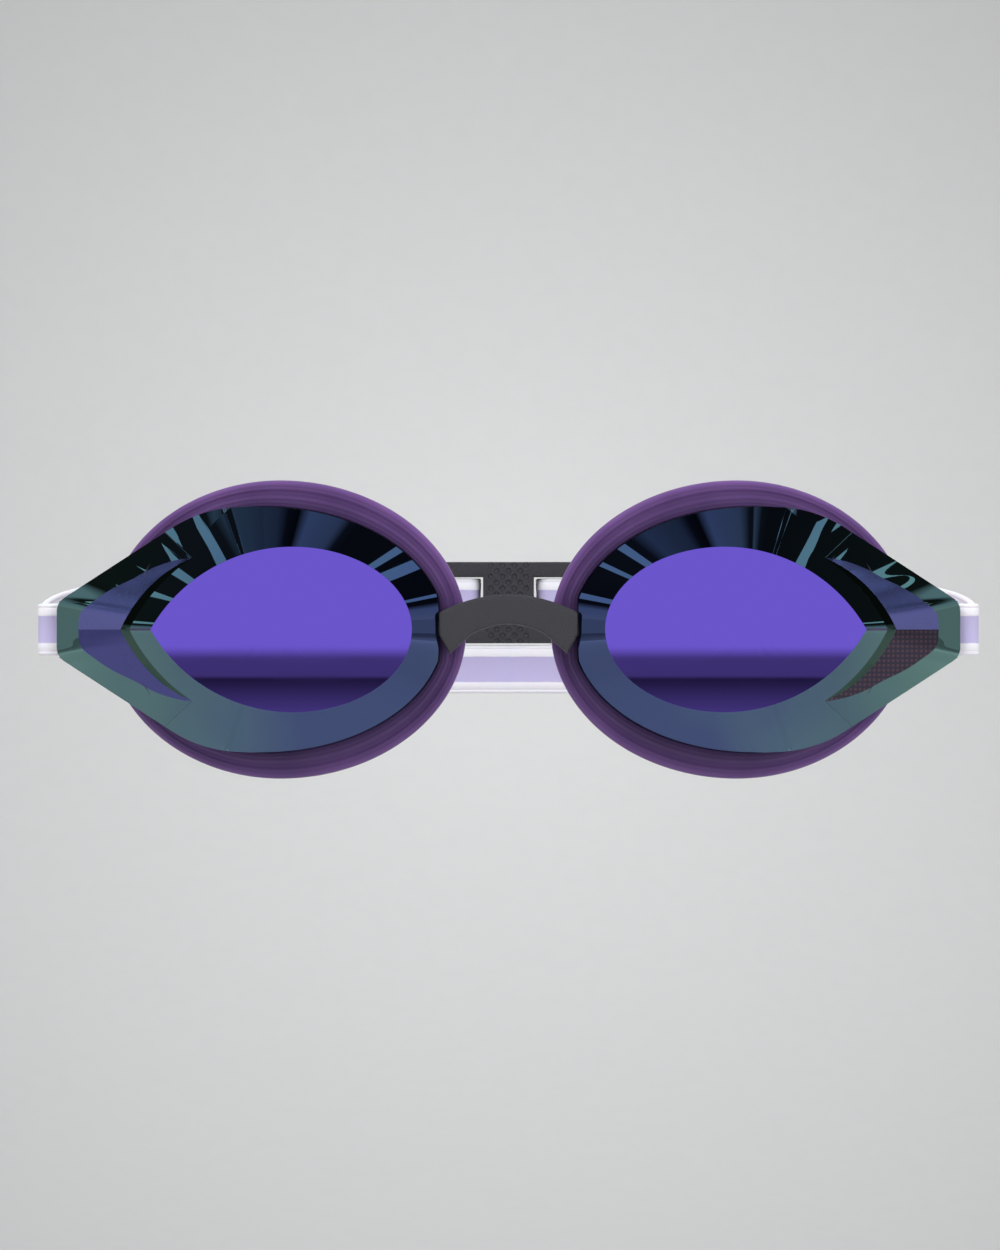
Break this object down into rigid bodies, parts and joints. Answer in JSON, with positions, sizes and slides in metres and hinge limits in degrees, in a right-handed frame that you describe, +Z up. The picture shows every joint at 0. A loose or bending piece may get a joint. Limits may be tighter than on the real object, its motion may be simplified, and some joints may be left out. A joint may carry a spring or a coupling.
{
  "type": "swim goggles",
  "caption": "Racing swim goggles with mirrored lens shells, soft seals, a snap-in nose bridge, a doubled strap and a rear clip.",
  "frame": {"origin": "on the middle plane at window height, where the rear edges of the two face seals meet the wearer's face at the temples", "axes": "+X across the face to the viewer's right as seen from the front, +Y from the lenses to the back of the head, +Z up"},
  "size_m": [0.159, 0.1234, 0.0502],
  "materials": {
    "mirrored_lens": "clear polycarbonate with a violet to teal mirror coating",
    "seal_silicone": "matt purple silicone",
    "bridge_plastic": "fine matt charcoal",
    "strap_silicone": "lavender silicone with white edges",
    "clip_plastic": "fine matt charcoal"
  },
  "bodies": {
    "nose_bridge": {"nose_bridge": "bridge_plastic"},
    "left_eyecup": {"left_lens": "mirrored_lens", "left_seal": "seal_silicone"},
    "right_eyecup": {"right_lens": "mirrored_lens", "right_seal": "seal_silicone"},
    "left_fold": {"left_strap_fold": "strap_silicone"},
    "right_fold": {"right_strap_fold": "strap_silicone"},
    "left_upper": {"left_strap_upper": "strap_silicone", "rear_clip": "clip_plastic"},
    "right_upper": {"right_strap_upper": "strap_silicone"},
    "left_lower": {"left_strap_lower": "strap_silicone"},
    "right_lower": {"right_strap_lower": "strap_silicone"}
  },
  "joints": [
    {"name": "left_eyecup_flex", "type": "hinge", "parent": "nose_bridge", "child": "left_eyecup", "pos_m": [-0.0139, -0.02198, 0], "axis": [0, 0, 1], "range_deg": [-4, 4], "stiffness_Nm_per_rad": 0.5},
    {"name": "right_eyecup_flex", "type": "hinge", "parent": "nose_bridge", "child": "right_eyecup", "pos_m": [0.0139, -0.02198, 0], "axis": [0, 0, 1], "range_deg": [-4.5, 4.5]},
    {"name": "left_strap_swivel", "type": "hinge", "parent": "left_eyecup", "child": "left_fold", "pos_m": [-0.074, -0.00778, 0], "axis": [0, 0, 1], "range_deg": [-5, 5]},
    {"name": "right_strap_swivel", "type": "hinge", "parent": "right_eyecup", "child": "right_fold", "pos_m": [0.074, -0.00778, 0], "axis": [0, 0, 1], "range_deg": [-5, 5]},
    {"name": "upper_run_lift", "type": "hinge", "parent": "left_fold", "child": "left_upper", "pos_m": [-0.07885, 0.00082, 0], "axis": [1, 0, 0], "range_deg": [0, 25], "stiffness_Nm_per_rad": 0.2},
    {"name": "right_upper_lift", "type": "hinge", "parent": "right_fold", "child": "right_upper", "pos_m": [0.07885, 0.00082, 0], "axis": [1, 0, 0], "range_deg": [-1, 26]},
    {"name": "lower_run_drop", "type": "hinge", "parent": "left_fold", "child": "left_lower", "pos_m": [-0.07205, 0.00082, 0], "axis": [1, 0, 0], "range_deg": [-25, 0], "stiffness_Nm_per_rad": 0.2},
    {"name": "right_lower_drop", "type": "hinge", "parent": "right_fold", "child": "right_lower", "pos_m": [0.07205, 0.00082, 0], "axis": [1, 0, 0], "range_deg": [-26, 1]}
  ],
  "couplings": [
    {"joint": "right_eyecup_flex", "follows": "left_eyecup_flex", "ratio": -1},
    {"joint": "left_strap_swivel", "follows": "left_eyecup_flex", "ratio": -1.1412},
    {"joint": "right_strap_swivel", "follows": "left_eyecup_flex", "ratio": 1.1412},
    {"joint": "right_lower_drop", "follows": "lower_run_drop", "ratio": 1},
    {"joint": "right_upper_lift", "follows": "upper_run_lift", "ratio": 1}
  ]
}
